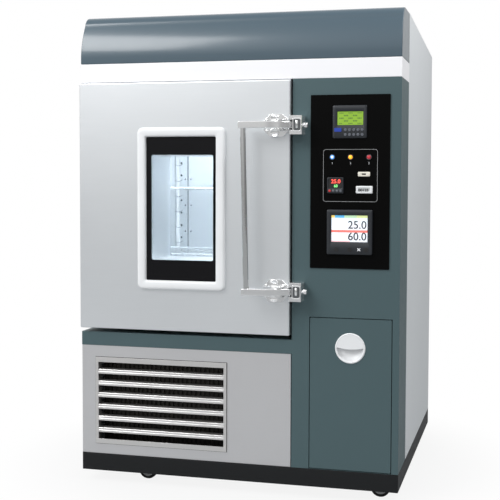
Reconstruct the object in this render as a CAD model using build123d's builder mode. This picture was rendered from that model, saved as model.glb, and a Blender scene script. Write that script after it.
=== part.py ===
from build123d import *
import os

# Environmental test chamber, lengths in millimetres.
# X runs to the right, the front looks along -Y, and Z runs up from the floor under the wheels.
# X and Y are zero at the middle of the box round the whole machine.

os.makedirs("parts", exist_ok=True)

# Overall sizes
WIDTH = 1082.0          # cabinet, left side to right side
DEPTH = 965.0           # fascia front plane to rear panel
HANDLE_OUT = 84.0       # handle front, forward of the fascia plane
HINGE_OUT = 25.0        # hinge knuckles, left of the cabinet side
SHEET = 2.0             # outer sheet metal
FIT = 0.3               # gap left between pieces that move past each other

# Planes that the whole cabinet shares
XR = (WIDTH + HINGE_OUT) / 2
XL = XR - WIDTH
YF = -(DEPTH - HANDLE_OUT) / 2
YB = YF + DEPTH
FASCIA_D = 184.0        # depth of the fascia in front of the side panels
YS = YF + FASCIA_D

# Levels above the floor
Z_SKIRT = 38.0
Z_BASE = 97.0
Z_BEAM = 466.5
Z_BEAM_TOP = 513.0
Z_TOP = 1577.0
CANOPY_H = 164.0
BAND_H = 62.0
ROOF_FALL = 46.0        # the roof falls gently to the rear
Z_CANOPY = Z_TOP - CANOPY_H
Z_BAND = Z_CANOPY - BAND_H
Z_REAR = Z_TOP - ROOF_FALL

# Fascia column to the right of the door
COLUMN_W = 348.5
XC = XR - COLUMN_W
# Main door
DOOR_GAP = 5.0
DOOR_PROUD = 13.0
DOOR_T = 150.0
XD = XC - DOOR_GAP
Z_DOOR = 527.0
Z_DOOR_TOP = Z_BAND - 2.5
YD = YF - DOOR_PROUD
YD_BACK = YD + DOOR_T
GASKET_T = 12.0
Y_SEAT = YD_BACK + GASKET_T + FIT
SEAT_T = 3.0
Y_SHELL = Y_SEAT + SEAT_T

# Test space
WALL_T = 80.0           # insulated wall, sheet to liner
TOP_T = 73.0
CAV_X0 = XL + WALL_T
CAV_X1 = XC - WALL_T - 3.5
CAV_Z0 = 598.0
CAV_Z1 = Z_BAND - TOP_T
CAV_BACK = YF + 850.0
LINER = 1.5


def block(x0, x1, y0, y1, z0, z1, mode=Mode.ADD):
    """Box between two corners, added to (or cut from) the piece being built."""
    with Locations(((x0 + x1) / 2, (y0 + y1) / 2, (z0 + z1) / 2)):
        Box(x1 - x0, y1 - y0, z1 - z0, mode=mode)


def post(x, y, z0, z1, r, mode=Mode.ADD):
    """Upright cylinder between two levels."""
    with Locations((x, y, (z0 + z1) / 2)):
        Cylinder(r, z1 - z0, mode=mode)


def stud(x, z, y0, y1, r, mode=Mode.ADD):
    """Cylinder along Y between two planes."""
    with Locations((x, (y0 + y1) / 2, z)):
        Cylinder(r, y1 - y0, rotation=(90, 0, 0), mode=mode)


def rod(y, z, x0, x1, r, mode=Mode.ADD):
    """Cylinder along X between two planes."""
    with Locations(((x0 + x1) / 2, y, z)):
        Cylinder(r, x1 - x0, rotation=(0, 90, 0), mode=mode)


def save(builder, name, stem=(0, 0, 0), turn=0):
    """Write the piece, turned about an upright line through stem where a turn is given."""
    piece = builder.part.rotate(Axis(stem, (0, 0, 1)), turn) if turn else builder.part
    piece.label = name
    export_step(piece, "parts/" + name + ".step")


# Base frame and its four swivel casters.
SKIRT_T = 3.0
Z_PLATE = Z_BASE - 3.0
PAD_T = 4.0
PAD_R = 30.0
STEM_Y = 75.0
STEM_X = [XL + 183.0, XR - 94.0]
# Name, stem place and how far the caster is turned: the rear pair trails to the back.
CORNERS = [
    ("front_left", STEM_X[0], YF + STEM_Y, 0),
    ("front_right", STEM_X[1], YF + STEM_Y, 0),
    ("rear_left", STEM_X[0], YB - STEM_Y, 90),
    ("rear_right", STEM_X[1], YB - STEM_Y, 90),
]

with BuildPart() as skirt:
    block(XL, XR, YF, YB, Z_SKIRT, Z_PLATE)
    block(XL + SKIRT_T, XR - SKIRT_T, YF + SKIRT_T, YB - SKIRT_T, Z_SKIRT, Z_PLATE, Mode.SUBTRACT)
save(skirt, "base_skirt")

with BuildPart() as base_plate:
    block(XL, XR, YF, YB, Z_PLATE, Z_BASE)
    for corner, sx, sy, turn in CORNERS:
        post(sx, sy, Z_PLATE - PAD_T, Z_PLATE, PAD_R)
save(base_plate, "base_plate")

WHEEL_R = 32.5
WHEEL_W = 22.0
TRAIL = 28.0
AXLE_R = 4.0
HOLE_R = AXLE_R + 0.08
LEG_T = 3.0
LEG_IN = WHEEL_W / 2 + 1.5
Z_CROWN = 72.0

for corner, sx, sy, turn in CORNERS:
    with BuildPart() as fork:
        post(sx, sy, Z_CROWN, Z_PLATE - PAD_T - FIT, 20)
        with BuildSketch(Plane.XZ.offset(-(sy - LEG_IN - LEG_T))) as leg:
            with Locations((sx + TRAIL, WHEEL_R)):
                Circle(11)
            with BuildLine():
                Polyline(
                    (sx - 16, Z_CROWN + 6), (sx + 20, Z_CROWN + 6), (sx + TRAIL + 11, WHEEL_R),
                    (sx + TRAIL - 11, WHEEL_R), (sx - 16, Z_CROWN - 8), (sx - 16, Z_CROWN + 6),
                )
            make_face()
        extrude(amount=-LEG_T)
        mirror(about=Plane.XZ.offset(-sy))
        block(sx - 16, sx + 20, sy - LEG_IN - LEG_T, sy + LEG_IN + LEG_T, Z_CROWN, Z_CROWN + 6)
        stud(sx + TRAIL, WHEEL_R, sy - LEG_IN - LEG_T - 3, sy + LEG_IN + LEG_T + 3, AXLE_R)
    save(fork, "caster_fork_" + corner, (sx, sy, 0), turn)
    with BuildPart() as wheel:
        stud(sx + TRAIL, WHEEL_R, sy - WHEEL_W / 2, sy + WHEEL_W / 2, WHEEL_R)
        fillet(wheel.edges().filter_by(GeomType.CIRCLE), 4)
        stud(sx + TRAIL, WHEEL_R, sy - WHEEL_W / 2 - 1, sy + WHEEL_W / 2 + 1, HOLE_R, Mode.SUBTRACT)
    save(wheel, "caster_wheel_" + corner, (sx, sy, 0), turn)

# Insulated body, its lining and the outer sheets.
with BuildPart() as insulation:
    block(XL + SHEET, XC, Y_SHELL, YB - SHEET, Z_BEAM_TOP, Z_CANOPY - SHEET)
    block(CAV_X0, CAV_X1, Y_SHELL, CAV_BACK, CAV_Z0, CAV_Z1, Mode.SUBTRACT)
    PORT_R = 25.0
    PORT_T = 2.0
    PORT_Y = YF + 430.0
    PORT_Z = 960.0
    rod(PORT_Y, PORT_Z, XL, CAV_X0, PORT_R + PORT_T, Mode.SUBTRACT)
save(insulation, "cabinet_insulation")

# The lining is five sheets: floor, ceiling, two sides and the back.
IN_X0 = CAV_X0 + LINER
IN_X1 = CAV_X1 - LINER
IN_Z0 = CAV_Z0 + LINER
IN_Z1 = CAV_Z1 - LINER
with BuildPart() as liner:
    block(CAV_X0, IN_X0, Y_SHELL, CAV_BACK, CAV_Z0, CAV_Z1)
    block(IN_X1, CAV_X1, Y_SHELL, CAV_BACK, CAV_Z0, CAV_Z1)
    block(IN_X0 + FIT, IN_X1 - FIT, CAV_BACK - LINER, CAV_BACK, CAV_Z0, CAV_Z1)
    block(IN_X0 + FIT, IN_X1 - FIT, Y_SHELL, CAV_BACK - LINER - FIT, CAV_Z0, IN_Z0)
    block(IN_X0 + FIT, IN_X1 - FIT, Y_SHELL, CAV_BACK - LINER - FIT, IN_Z1, CAV_Z1)
    rod(PORT_Y, PORT_Z, CAV_X0 - 1, CAV_X0 + LINER + 1, PORT_R + PORT_T, Mode.SUBTRACT)
save(liner, "chamber_liner")

with BuildPart() as seat:
    block(XL, XC, Y_SEAT, Y_SHELL, Z_BEAM_TOP, Z_BAND)
    block(CAV_X0 + LINER, CAV_X1 - LINER, Y_SEAT, Y_SHELL, CAV_Z0 + LINER, CAV_Z1 - LINER, Mode.SUBTRACT)
save(seat, "door_seat_frame")

with BuildPart() as port:
    rod(PORT_Y, PORT_Z, XL - 6, CAV_X0 + LINER + 4, PORT_R + PORT_T)
    rod(PORT_Y, PORT_Z, XL - 6, XL, PORT_R + 12)
    rod(PORT_Y, PORT_Z, XL - 7, CAV_X0 + LINER + 5, PORT_R, Mode.SUBTRACT)
save(port, "cable_port_sleeve")

with BuildPart() as left_panel:
    block(XL, XL + SHEET, Y_SHELL, YB - SHEET, Z_BASE, Z_BAND)
    rod(PORT_Y, PORT_Z, XL - 1, XL + SHEET + 1, PORT_R + PORT_T, Mode.SUBTRACT)
    with BuildSketch(Plane.YZ.offset(XL)):
        with BuildLine():
            Polyline((YS + 5, Z_BAND), (YB - SHEET, Z_BAND), (YB - SHEET, Z_REAR),
                     (YS + 5, Z_TOP), (YS + 5, Z_BAND))
        make_face()
    extrude(amount=SHEET)
save(left_panel, "side_panel_left")

with BuildPart() as right_panel:
    with BuildSketch(Plane.YZ.offset(XR)):
        with BuildLine():
            Polyline((YS, Z_BASE), (YB - SHEET, Z_BASE), (YB - SHEET, Z_REAR),
                     (YS + 5, Z_TOP), (YS + 5, Z_BAND), (YS, Z_BAND), (YS, Z_BASE))
        make_face()
    extrude(amount=-SHEET)
save(right_panel, "side_panel_right")

with BuildPart() as roof:
    with BuildSketch(Plane.YZ.offset(XL + SHEET)):
        with BuildLine():
            Polyline((YS + 5, Z_TOP - SHEET), (YB - SHEET, Z_REAR - SHEET), (YB - SHEET, Z_REAR),
                     (YS + 5, Z_TOP), (YS + 5, Z_TOP - SHEET))
        make_face()
    extrude(amount=WIDTH - 2 * SHEET)
save(roof, "roof_panel")

with BuildPart() as rear_panel:
    block(XL, XR, YB - SHEET, YB, Z_BASE, Z_REAR)
    for row in range(9):
        for column in range(3):
            xs = XL + 132 + column * 200
            zs = 160 + row * 32
            block(xs, xs + 150, YB - SHEET, YB, zs, zs + 8, Mode.SUBTRACT)
save(rear_panel, "rear_panel")

# Front of the machine: column, beam, band, canopy, lower panel and louvre.
SVC_X0 = XR - 288.0
SVC_X1 = XR - 24.5
SVC_Z0 = 100.0
SVC_Z1 = 588.0
SVC_GAP = 2.5
SVC_T = 20.0
SVC_PIN_X = SVC_X1 - 5.0
SVC_PIN_Y = YF + 5.0
SVC_PIN_R = 2.5
SVC_PIN_L = 10.0
BAY_BACK = YS - 6.0
PANEL_X0 = XR - 289.0
PANEL_X1 = XR - 34.5
PANEL_Z0 = 748.0
PANEL_Z1 = 1298.0
PANEL_T = 3.0

with BuildPart() as column:
    block(XC, XR, YF, YS, Z_BASE, Z_BAND)
    block(SVC_X0 - SVC_GAP, SVC_X1 + SVC_GAP, YF, YF + SVC_T + 2,
          SVC_Z0 - SVC_GAP, SVC_Z1 + SVC_GAP, Mode.SUBTRACT)
    block(SVC_X0 + 12, SVC_X1 - 12, YF, BAY_BACK, SVC_Z0 + 10, SVC_Z1 - 12, Mode.SUBTRACT)
    post(SVC_PIN_X, SVC_PIN_Y, SVC_Z1 - SVC_PIN_L, SVC_Z1 + SVC_GAP, SVC_PIN_R)
    post(SVC_PIN_X, SVC_PIN_Y, SVC_Z0 - SVC_GAP, SVC_Z0 + SVC_PIN_L, SVC_PIN_R)
save(column, "fascia_column")

with BuildPart() as beam:
    block(XL, XC, YF, Y_SHELL, Z_BEAM, Z_BEAM_TOP)
    fillet(beam.edges().filter_by(Axis.X).group_by(Axis.Y)[0], 2)
save(beam, "fascia_beam")

with BuildPart() as band:
    block(XL, XR, YF, YS + 5, Z_BAND, Z_CANOPY)
    block(XL + SHEET, XC, Y_SHELL, YS + 5, Z_BAND, Z_CANOPY, Mode.SUBTRACT)
    fillet(band.edges().filter_by(Axis.X).group_by(Axis.Y)[0], 2)
save(band, "front_band")

# The canopy leans back as it rises and rolls over into its flat top.
LEAN = [(0.0, Z_CANOPY), (0.0, Z_CANOPY + 22), (15.0, Z_CANOPY + 98), (33.0, Z_CANOPY + 138)]
with BuildPart() as canopy:
    with BuildSketch(Plane.YZ.offset(XL)) as profile:
        with BuildLine():
            foot = Line((YF + LEAN[0][0], LEAN[0][1]), (YF + LEAN[1][0], LEAN[1][1]))
            face = Spline(*[(YF + a, b) for a, b in LEAN[1:]], tangents=[(0, 1), (0.5, 1)])
            roll = Spline(face @ 1, (YF + 80, Z_TOP), tangents=[face % 1, (1, 0)])
            Line(roll @ 1, (YS + 5, Z_TOP))
            Line((YS + 5, Z_TOP), (YS + 5, Z_CANOPY))
            Line((YS + 5, Z_CANOPY), foot @ 0)
        make_face()
    extrude(amount=WIDTH)
save(canopy, "canopy")

LOU_X0 = XL + 50.0
LOU_X1 = XC - 219.5
LOU_Z0 = 131.5
LOU_Z1 = 427.0
SLOTS = 7
PITCH = 40.0
SIDE = 10.0
FIRST = LOU_Z1 - 17.0
PRESS_Y = 4.0
with BuildPart() as lower_panel:
    block(XL, XC - 3, YF + 2, YF + 2 + PRESS_Y, Z_BASE, Z_BEAM)
    block(XL, XL + SHEET, YF + 2, Y_SHELL, Z_BASE, Z_BEAM)
    block(LOU_X0 + 4, LOU_X1 - 4, YF, YF + 10, LOU_Z0 + 4, LOU_Z1 - 4, Mode.SUBTRACT)
save(lower_panel, "lower_front_panel")

BLADE = 22.0
with BuildPart() as grille:
    block(LOU_X0, LOU_X1, YF - 1, YF + 2, LOU_Z0, LOU_Z1)
    block(LOU_X0 + 4, LOU_X1 - 4, YF + 2, YF + 26, LOU_Z0 + 4, LOU_Z1 - 4)
    block(LOU_X0 + SIDE, LOU_X1 - SIDE, YF - 2, YF + 27, LOU_Z0 + 16, FIRST, Mode.SUBTRACT)
    for n in range(SLOTS - 1):
        top = FIRST - 18.0 - n * PITCH
        with BuildSketch(Plane.YZ.offset(LOU_X0 + SIDE - 0.5)):
            with BuildLine():
                Polyline((YF - 1, top - BLADE), (YF - 1, top - BLADE + 2.2), (YF + 22, top),
                         (YF + 25, top), (YF + 25, top - 2.5), (YF + 1.5, top - BLADE), (YF - 1, top - BLADE))
            make_face()
        extrude(amount=LOU_X1 - LOU_X0 - 2 * SIDE + 1)
save(grille, "louvre_grille")

COIL_Y = YF + 70.0
with BuildPart() as condenser:
    block(LOU_X0, LOU_X1, COIL_Y, COIL_Y + 44, Z_BASE + 12, LOU_Z1 + 10)
    for n in range(int((LOU_X1 - LOU_X0 - 16) / 16)):
        xf = LOU_X0 + 12 + n * 16
        block(xf, xf + 8, COIL_Y, COIL_Y + 6, Z_BASE + 22, LOU_Z1, Mode.SUBTRACT)
    block(LOU_X0, LOU_X0 + 20, COIL_Y, COIL_Y + 44, Z_BASE, Z_BASE + 12)
    block(LOU_X1 - 20, LOU_X1, COIL_Y, COIL_Y + 44, Z_BASE, Z_BASE + 12)
save(condenser, "condenser_coil")

# Instruments on the gloss panel.
with BuildPart() as panel:
    block(PANEL_X0, PANEL_X1, YF - PANEL_T, YF, PANEL_Z0, PANEL_Z1)
    fillet(panel.edges().filter_by(Axis.Y), 2)
save(panel, "control_panel")
YP = YF - PANEL_T


def bezel(builder, x0, x1, z0, z1, out, r):
    """Rounded front frame of an instrument that stands on the control panel."""
    block(x0, x1, YP - out, YP, z0, z1)
    fillet(builder.edges().filter_by(Axis.Y), r)


CTL = (XR - 217.5, XR - 108.0, 1160.5, 1264.5)
CTL_SCREEN = (XR - 202.0, XR - 119.7, 1202.3, 1244.6)
with BuildPart() as controller:
    bezel(controller, *CTL, 6, 4)
    block(CTL_SCREEN[0], CTL_SCREEN[1], YP - 6, YP - 4, CTL_SCREEN[2], CTL_SCREEN[3], Mode.SUBTRACT)
save(controller, "controller_case")
with BuildPart() as controller_screen:
    block(CTL_SCREEN[0], CTL_SCREEN[1], YP - 5, YP - 4, CTL_SCREEN[2], CTL_SCREEN[3])
save(controller_screen, "controller_screen")
with BuildPart() as controller_keys:
    block(XR - 211.4, XR - 188.2, YP - 8, YP - 6, 1180.6, 1193.4)
    for n in range(5):
        for level in (1187.0, 1172.5):
            stud(XR - 176 + n * 14, level, YP - 8, YP - 6, 4)
    stud(XR - 199.8, 1172.5, YP - 8, YP - 6, 4)
save(controller_keys, "controller_keys")

LAMP_Z = 1101.5
LAMP_R = 9.5
LAMPS = [("lamp_blue", XR - 218.2), ("lamp_amber", XR - 159.7), ("lamp_red", XR - 101.1)]
for lamp_name, lx in LAMPS:
    with BuildPart() as lamp:
        stud(lx, LAMP_Z, YP - 5, YP, LAMP_R)
        fillet(lamp.faces().sort_by(Axis.Y)[0].edges(), 3.5)
    save(lamp, lamp_name)

with BuildPart() as data_port:
    bezel(data_port, XR - 136.3, XR - 96.7, 1039.9, 1055.5, 2.5, 2)
    block(XR - 124, XR - 109, YP - 2.5, YP - 0.5, 1045.5, 1050, Mode.SUBTRACT)
save(data_port, "data_port")

REG = (XR - 234.0, XR - 181.0, 986.5, 1037.8)
with BuildPart() as regulator:
    bezel(regulator, *REG, 5, 3)
    block(REG[0] + 5, REG[1] - 5, YP - 5, YP - 4, REG[2] + 17, REG[3] - 5, Mode.SUBTRACT)
    for n in range(4):
        stud(REG[0] + 9 + n * 11.6, REG[2] + 9, YP - 6.5, YP - 5, 3.6)
save(regulator, "temperature_regulator")

HOUR = (XR - 141.7, XR - 88.7, 986.8, 1010.7)
with BuildPart() as hour_meter:
    bezel(hour_meter, *HOUR, 4, 2)
    block(HOUR[0] + 8, HOUR[1] - 8, YP - 4, YP - 3, HOUR[2] + 6, HOUR[3] - 7, Mode.SUBTRACT)
save(hour_meter, "hour_meter")

REC = (XR - 233.5, XR - 87.6, 793.5, 935.7)
REC_SCREEN = (XR - 218.5, XR - 102.6, 833.8, 917.9)
with BuildPart() as recorder:
    bezel(recorder, *REC, 10, 5)
    block(REC_SCREEN[0], REC_SCREEN[1], YP - 10, YP - 6, REC_SCREEN[2], REC_SCREEN[3], Mode.SUBTRACT)
save(recorder, "recorder_case")
with BuildPart() as recorder_screen:
    block(REC_SCREEN[0], REC_SCREEN[1], YP - 7.5, YP - 6, REC_SCREEN[2], REC_SCREEN[3])
save(recorder_screen, "recorder_screen")
with BuildPart() as recorder_keys:
    for kx in (201.5, 159.6, 129.2, 106.8):
        block(XR - kx - 7, XR - kx + 7, YP - 11.5, YP - 10, 802, 817)
save(recorder_keys, "recorder_keys")

# Small door in the column, its round pull, and the water tank behind it.
PULL_X = XR - 156.6
PULL_Z = 493.7
PULL_R = 49.0
CUP_D = 15.0
with BuildPart() as service_door:
    block(SVC_X0, SVC_X1, YF, YF + SVC_T, SVC_Z0, SVC_Z1)
    fillet(service_door.edges().filter_by(Axis.Y), 3)
    stud(PULL_X, PULL_Z, YF - 1, YF + CUP_D + 1.5, PULL_R - 5, Mode.SUBTRACT)
    for pin_z in (SVC_Z0, SVC_Z1):
        post(SVC_PIN_X, SVC_PIN_Y, pin_z - SVC_PIN_L - 0.5, pin_z + SVC_PIN_L + 0.5,
             SVC_PIN_R + 0.08, Mode.SUBTRACT)
save(service_door, "service_door")

with BuildPart() as pull:
    with BuildSketch(Plane.YZ.offset(PULL_X)):
        with BuildLine():
            Polyline((YF + CUP_D - 1, PULL_Z), (YF + CUP_D + 1.5, PULL_Z), (YF + CUP_D + 1.5, PULL_Z + PULL_R - 18),
                     (YF + 3, PULL_Z + PULL_R - 5), (YF, PULL_Z + PULL_R - 5), (YF, PULL_Z + PULL_R),
                     (YF - 2, PULL_Z + PULL_R), (YF - 3, PULL_Z + PULL_R - 2), (YF - 3, PULL_Z + PULL_R - 8),
                     (YF + CUP_D - 1, PULL_Z + PULL_R - 20), (YF + CUP_D - 1, PULL_Z))
        make_face()
    revolve(axis=Axis((PULL_X, YF, PULL_Z), (0, 1, 0)))
    with BuildSketch(Plane.XZ.offset(-YF)):
        with Locations((PULL_X, PULL_Z)):
            Circle(PULL_R - 6.5)
        with Locations((PULL_X, PULL_Z + 85)):
            Circle(90, mode=Mode.INTERSECT)
    extrude(amount=2)
save(pull, "pull_cup")

TANK_Y0 = YF + SVC_T + 14
with BuildPart() as tank:
    block(SVC_X0 + 24, SVC_X1 - 24, TANK_Y0, BAY_BACK - 6, SVC_Z0 + 10, SVC_Z0 + 310)
    fillet(tank.edges().filter_by(Axis.Z), 14)
    fillet(tank.faces().sort_by(Axis.Z)[-1].edges(), 8)
    post(SVC_X0 + 90, (TANK_Y0 + BAY_BACK - 6) / 2, SVC_Z0 + 300, SVC_Z0 + 330, 30)
    block(SVC_X1 - 110, SVC_X1 - 50, TANK_Y0 - 6, TANK_Y0 + 4, SVC_Z0 + 235, SVC_Z0 + 262)
save(tank, "water_tank")

# Air baffle, fan, uprights and shelves inside the test space.
BAFFLE_Y = YF + 700.0
with BuildPart() as baffle:
    block(CAV_X0 + LINER, CAV_X1 - LINER, BAFFLE_Y, BAFFLE_Y + 2, CAV_Z0 + 70, CAV_Z1 - 62)
    MOUTH_X = (CAV_X0 + CAV_X1) / 2
    MOUTH_Z = CAV_Z1 - 190
    stud(MOUTH_X, MOUTH_Z, BAFFLE_Y - 1, BAFFLE_Y + 3, 82, Mode.SUBTRACT)
    for ring in (30, 48, 66, 83):
        with BuildSketch(Plane.XZ.offset(-BAFFLE_Y)):
            with Locations((MOUTH_X, MOUTH_Z)):
                Circle(ring + 1.5)
                Circle(ring - 1.5, mode=Mode.SUBTRACT)
        extrude(amount=3)
    for turn in (0, 45, 90, 135):
        with Locations(Location((MOUTH_X, BAFFLE_Y - 1.5, MOUTH_Z), (0, turn, 0))):
            Box(171, 3, 3)
save(baffle, "air_baffle")

SHAFT_R = 5.0
FAN_Y = BAFFLE_Y + 20
with BuildPart() as fan:
    stud(MOUTH_X, MOUTH_Z, FAN_Y - 5, FAN_Y + 15, 20)
    for blade_n in range(6):
        a = blade_n * 60
        with Locations(Location((MOUTH_X, FAN_Y + 5, MOUTH_Z), (0, a, 0))):
            with Locations(Location((44, 0, 0), (28, 0, 0))):
                Box(56, 2.5, 30)
    stud(MOUTH_X, MOUTH_Z, FAN_Y - 6, FAN_Y + 16, SHAFT_R + 0.06, Mode.SUBTRACT)
save(fan, "circulation_fan")

with BuildPart() as motor:
    stud(MOUTH_X, MOUTH_Z, FAN_Y - 8, CAV_BACK - LINER, SHAFT_R)
    stud(MOUTH_X, MOUTH_Z, CAV_BACK - LINER - 70, CAV_BACK - LINER, 42)
save(motor, "fan_motor")

# Slotted uprights, two on each side wall.
UPRIGHT_Y = [YF + 250.0, YF + 590.0]
with BuildPart() as uprights:
    for wall, s in ((CAV_X0 + LINER, 1), (CAV_X1 - LINER, -1)):
        for uy in UPRIGHT_Y:
            block(min(wall, wall + s * 8), max(wall, wall + s * 8), uy - 14, uy + 14, CAV_Z0 + 30, CAV_Z1 - 40)
            for n in range(14):
                zs = CAV_Z0 + 60 + n * 42
                block(min(wall + s * 5, wall + s * 8), max(wall + s * 5, wall + s * 8),
                      uy - 3, uy + 3, zs, zs + 16, Mode.SUBTRACT)
save(uprights, "shelf_uprights")

SHELF_Z = [CAV_Z0 + 165.0, CAV_Z0 + 400.0]
with BuildPart() as shelves:
    for sz in SHELF_Z:
        for sy in (YF + 240, YF + 600):
            rod(sy, sz, CAV_X0 + LINER + 10, CAV_X1 - LINER - 10, 4)
        for n in range(15):
            xs = CAV_X0 + LINER + 14 + n * (CAV_X1 - CAV_X0 - 2 * LINER - 28) / 14
            block(xs - 2, xs + 2, YF + 215, YF + 635, sz - 2, sz + 2)
save(shelves, "wire_shelves")

with BuildPart() as brackets:
    for sz in SHELF_Z:
        for s, wall in ((1, CAV_X0 + LINER), (-1, CAV_X1 - LINER)):
            xa, xb = wall + s * 8, wall + s * 22
            block(min(xa, xb), max(xa, xb), YF + 230, YF + 610, sz - 8, sz - 4)
            for uy in UPRIGHT_Y:
                block(min(xa, xa + s * 3), max(xa, xa + s * 3), uy - 10, uy + 10, sz - 24, sz - 8)
save(brackets, "shelf_brackets")

# Main door: shell, inner plug, seal and window.
WIN_X0 = XL + 257.0
WIN_X1 = XC - 262.5
WIN_Z0 = 763.0
WIN_Z1 = 1109.5
GLASS_X0 = XL + 239.5
GLASS_X1 = XC - 251.0
GLASS_Z0 = 695.0
GLASS_Z1 = 1169.0
RIM_X0 = XL + 210.5
RIM_X1 = XC - 220.5
RIM_Z0 = 665.0
RIM_Z1 = 1199.0
PLUG_D = 34.0
PLUG_GAP = 8.0

with BuildPart() as door_shell:
    block(XL, XD, YD, YD_BACK, Z_DOOR, Z_DOOR_TOP)
    fillet(door_shell.edges().filter_by(Axis.Z).group_by(Axis.Y)[0], 4)
    fillet(door_shell.edges().filter_by(Axis.X).group_by(Axis.Y)[0], 4)
    block(WIN_X0, WIN_X1, YD, YD_BACK, WIN_Z0, WIN_Z1, Mode.SUBTRACT)
    block(GLASS_X0, GLASS_X1, YD - 1, YD + 6, GLASS_Z0, GLASS_Z1, Mode.SUBTRACT)
save(door_shell, "door_shell")

with BuildPart() as door_plug:
    block(CAV_X0 + LINER + PLUG_GAP, CAV_X1 - LINER - PLUG_GAP, YD_BACK, YD_BACK + PLUG_D,
          CAV_Z0 + LINER + PLUG_GAP, CAV_Z1 - LINER - PLUG_GAP)
    fillet(door_plug.faces().sort_by(Axis.Y)[-1].edges(), 6)
    block(WIN_X0, WIN_X1, YD_BACK, YD_BACK + PLUG_D, WIN_Z0, WIN_Z1, Mode.SUBTRACT)
save(door_plug, "door_plug")

GASKET_W = 22.0
with BuildPart() as gasket:
    gx0, gx1 = CAV_X0 - 26, CAV_X1 + 26
    gz0, gz1 = CAV_Z0 - 26, CAV_Z1 + 26
    block(gx0, gx1, YD_BACK, YD_BACK + GASKET_T, gz0, gz1)
    block(gx0 + GASKET_W, gx1 - GASKET_W, YD_BACK, YD_BACK + GASKET_T, gz0 + GASKET_W, gz1 - GASKET_W,
          Mode.SUBTRACT)
    fillet(gasket.edges().filter_by(Axis.Y), 3)
save(gasket, "door_gasket")

with BuildPart() as rim:
    with BuildSketch(Plane.XZ.offset(-YD)):
        with Locations(((RIM_X0 + RIM_X1) / 2, (RIM_Z0 + RIM_Z1) / 2)):
            RectangleRounded(RIM_X1 - RIM_X0, RIM_Z1 - RIM_Z0, 18)
        with Locations(((GLASS_X0 + GLASS_X1) / 2, (GLASS_Z0 + GLASS_Z1) / 2)):
            RectangleRounded(GLASS_X1 - GLASS_X0, GLASS_Z1 - GLASS_Z0, 6, mode=Mode.SUBTRACT)
    extrude(amount=12)
    fillet(rim.faces().sort_by(Axis.Y)[0].outer_wire().edges(), 8)
save(rim, "window_rim")

with BuildPart() as pane:
    block(GLASS_X0, GLASS_X1, YD, YD + 6, GLASS_Z0, GLASS_Z1)
save(pane, "window_glass")

with BuildPart() as inner_pane:
    block(WIN_X0, WIN_X1, YD_BACK + PLUG_D - 10, YD_BACK + PLUG_D - 4, WIN_Z0, WIN_Z1)
save(inner_pane, "window_inner_glass")

# Two hinges on the left edge of the door.
HX = XL - 14.0
HY = YD_BACK + (GASKET_T + FIT) / 2
KNUCKLE = 11.0
LEAF_T = 4.0
HINGE_Z = [Z_DOOR + 130.0, Z_DOOR_TOP - 130.0]
PIN_R = 4.0
with BuildPart() as cabinet_leaves:
    for hz in HINGE_Z:
        block(XL - LEAF_T, XL, Y_SHELL + 2, Y_SHELL + 66, hz - 48, hz + 48)
        block(HX, XL, HY + 3, Y_SHELL + 4, hz - 48, hz - FIT)
        post(HX, HY, hz - 48, hz - FIT, KNUCKLE)
        post(HX, HY, hz - 20, hz + 40, PIN_R)
save(cabinet_leaves, "hinge_cabinet_leaves")

with BuildPart() as door_leaves:
    for hz in HINGE_Z:
        block(XL - LEAF_T, XL, YD_BACK - 66, YD_BACK - 2, hz - 48, hz + 48)
        block(HX, XL, HY - KNUCKLE, HY - 3, hz, hz + 48)
        post(HX, HY, hz, hz + 48, KNUCKLE)
        post(HX, HY, hz, hz + 42, PIN_R + 0.08, Mode.SUBTRACT)
save(door_leaves, "hinge_door_leaves")

# Latch bases, handle and strikes.
LATCH_X = XR - 397.0
LATCH_Z = [672.5, 1202.0]
PIVOT_X = XR - 378.0
PIVOT_Y = YF - 56.0
LATCH_PIN = 5.0
ARM_H = 22.0
LUG_T = 6.0
with BuildPart() as latch_bases:
    for lz in LATCH_Z:
        with BuildSketch(Plane.XZ.offset(-YD)):
            with Locations((LATCH_X, lz)):
                Rectangle(84, 72)
                for sx in (-1, 1):
                    for sz in (-1, 1):
                        with Locations(Location((sx * 42, sz * 36, 0), (0, 0, 45))):
                            Rectangle(30, 30, mode=Mode.SUBTRACT)
        extrude(amount=8)
        for s in (-1, 1):
            z0 = lz + s * (ARM_H / 2 + FIT)
            z1 = z0 + s * LUG_T
            post(PIVOT_X, PIVOT_Y, min(z0, z1), max(z0, z1), 13)
            block(PIVOT_X - 13, PIVOT_X + 13, PIVOT_Y, YD - 7, min(z0, z1), max(z0, z1))
        post(PIVOT_X, PIVOT_Y, lz - ARM_H / 2 - LUG_T, lz + ARM_H / 2 + LUG_T, LATCH_PIN)
save(latch_bases, "latch_bases")

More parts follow.
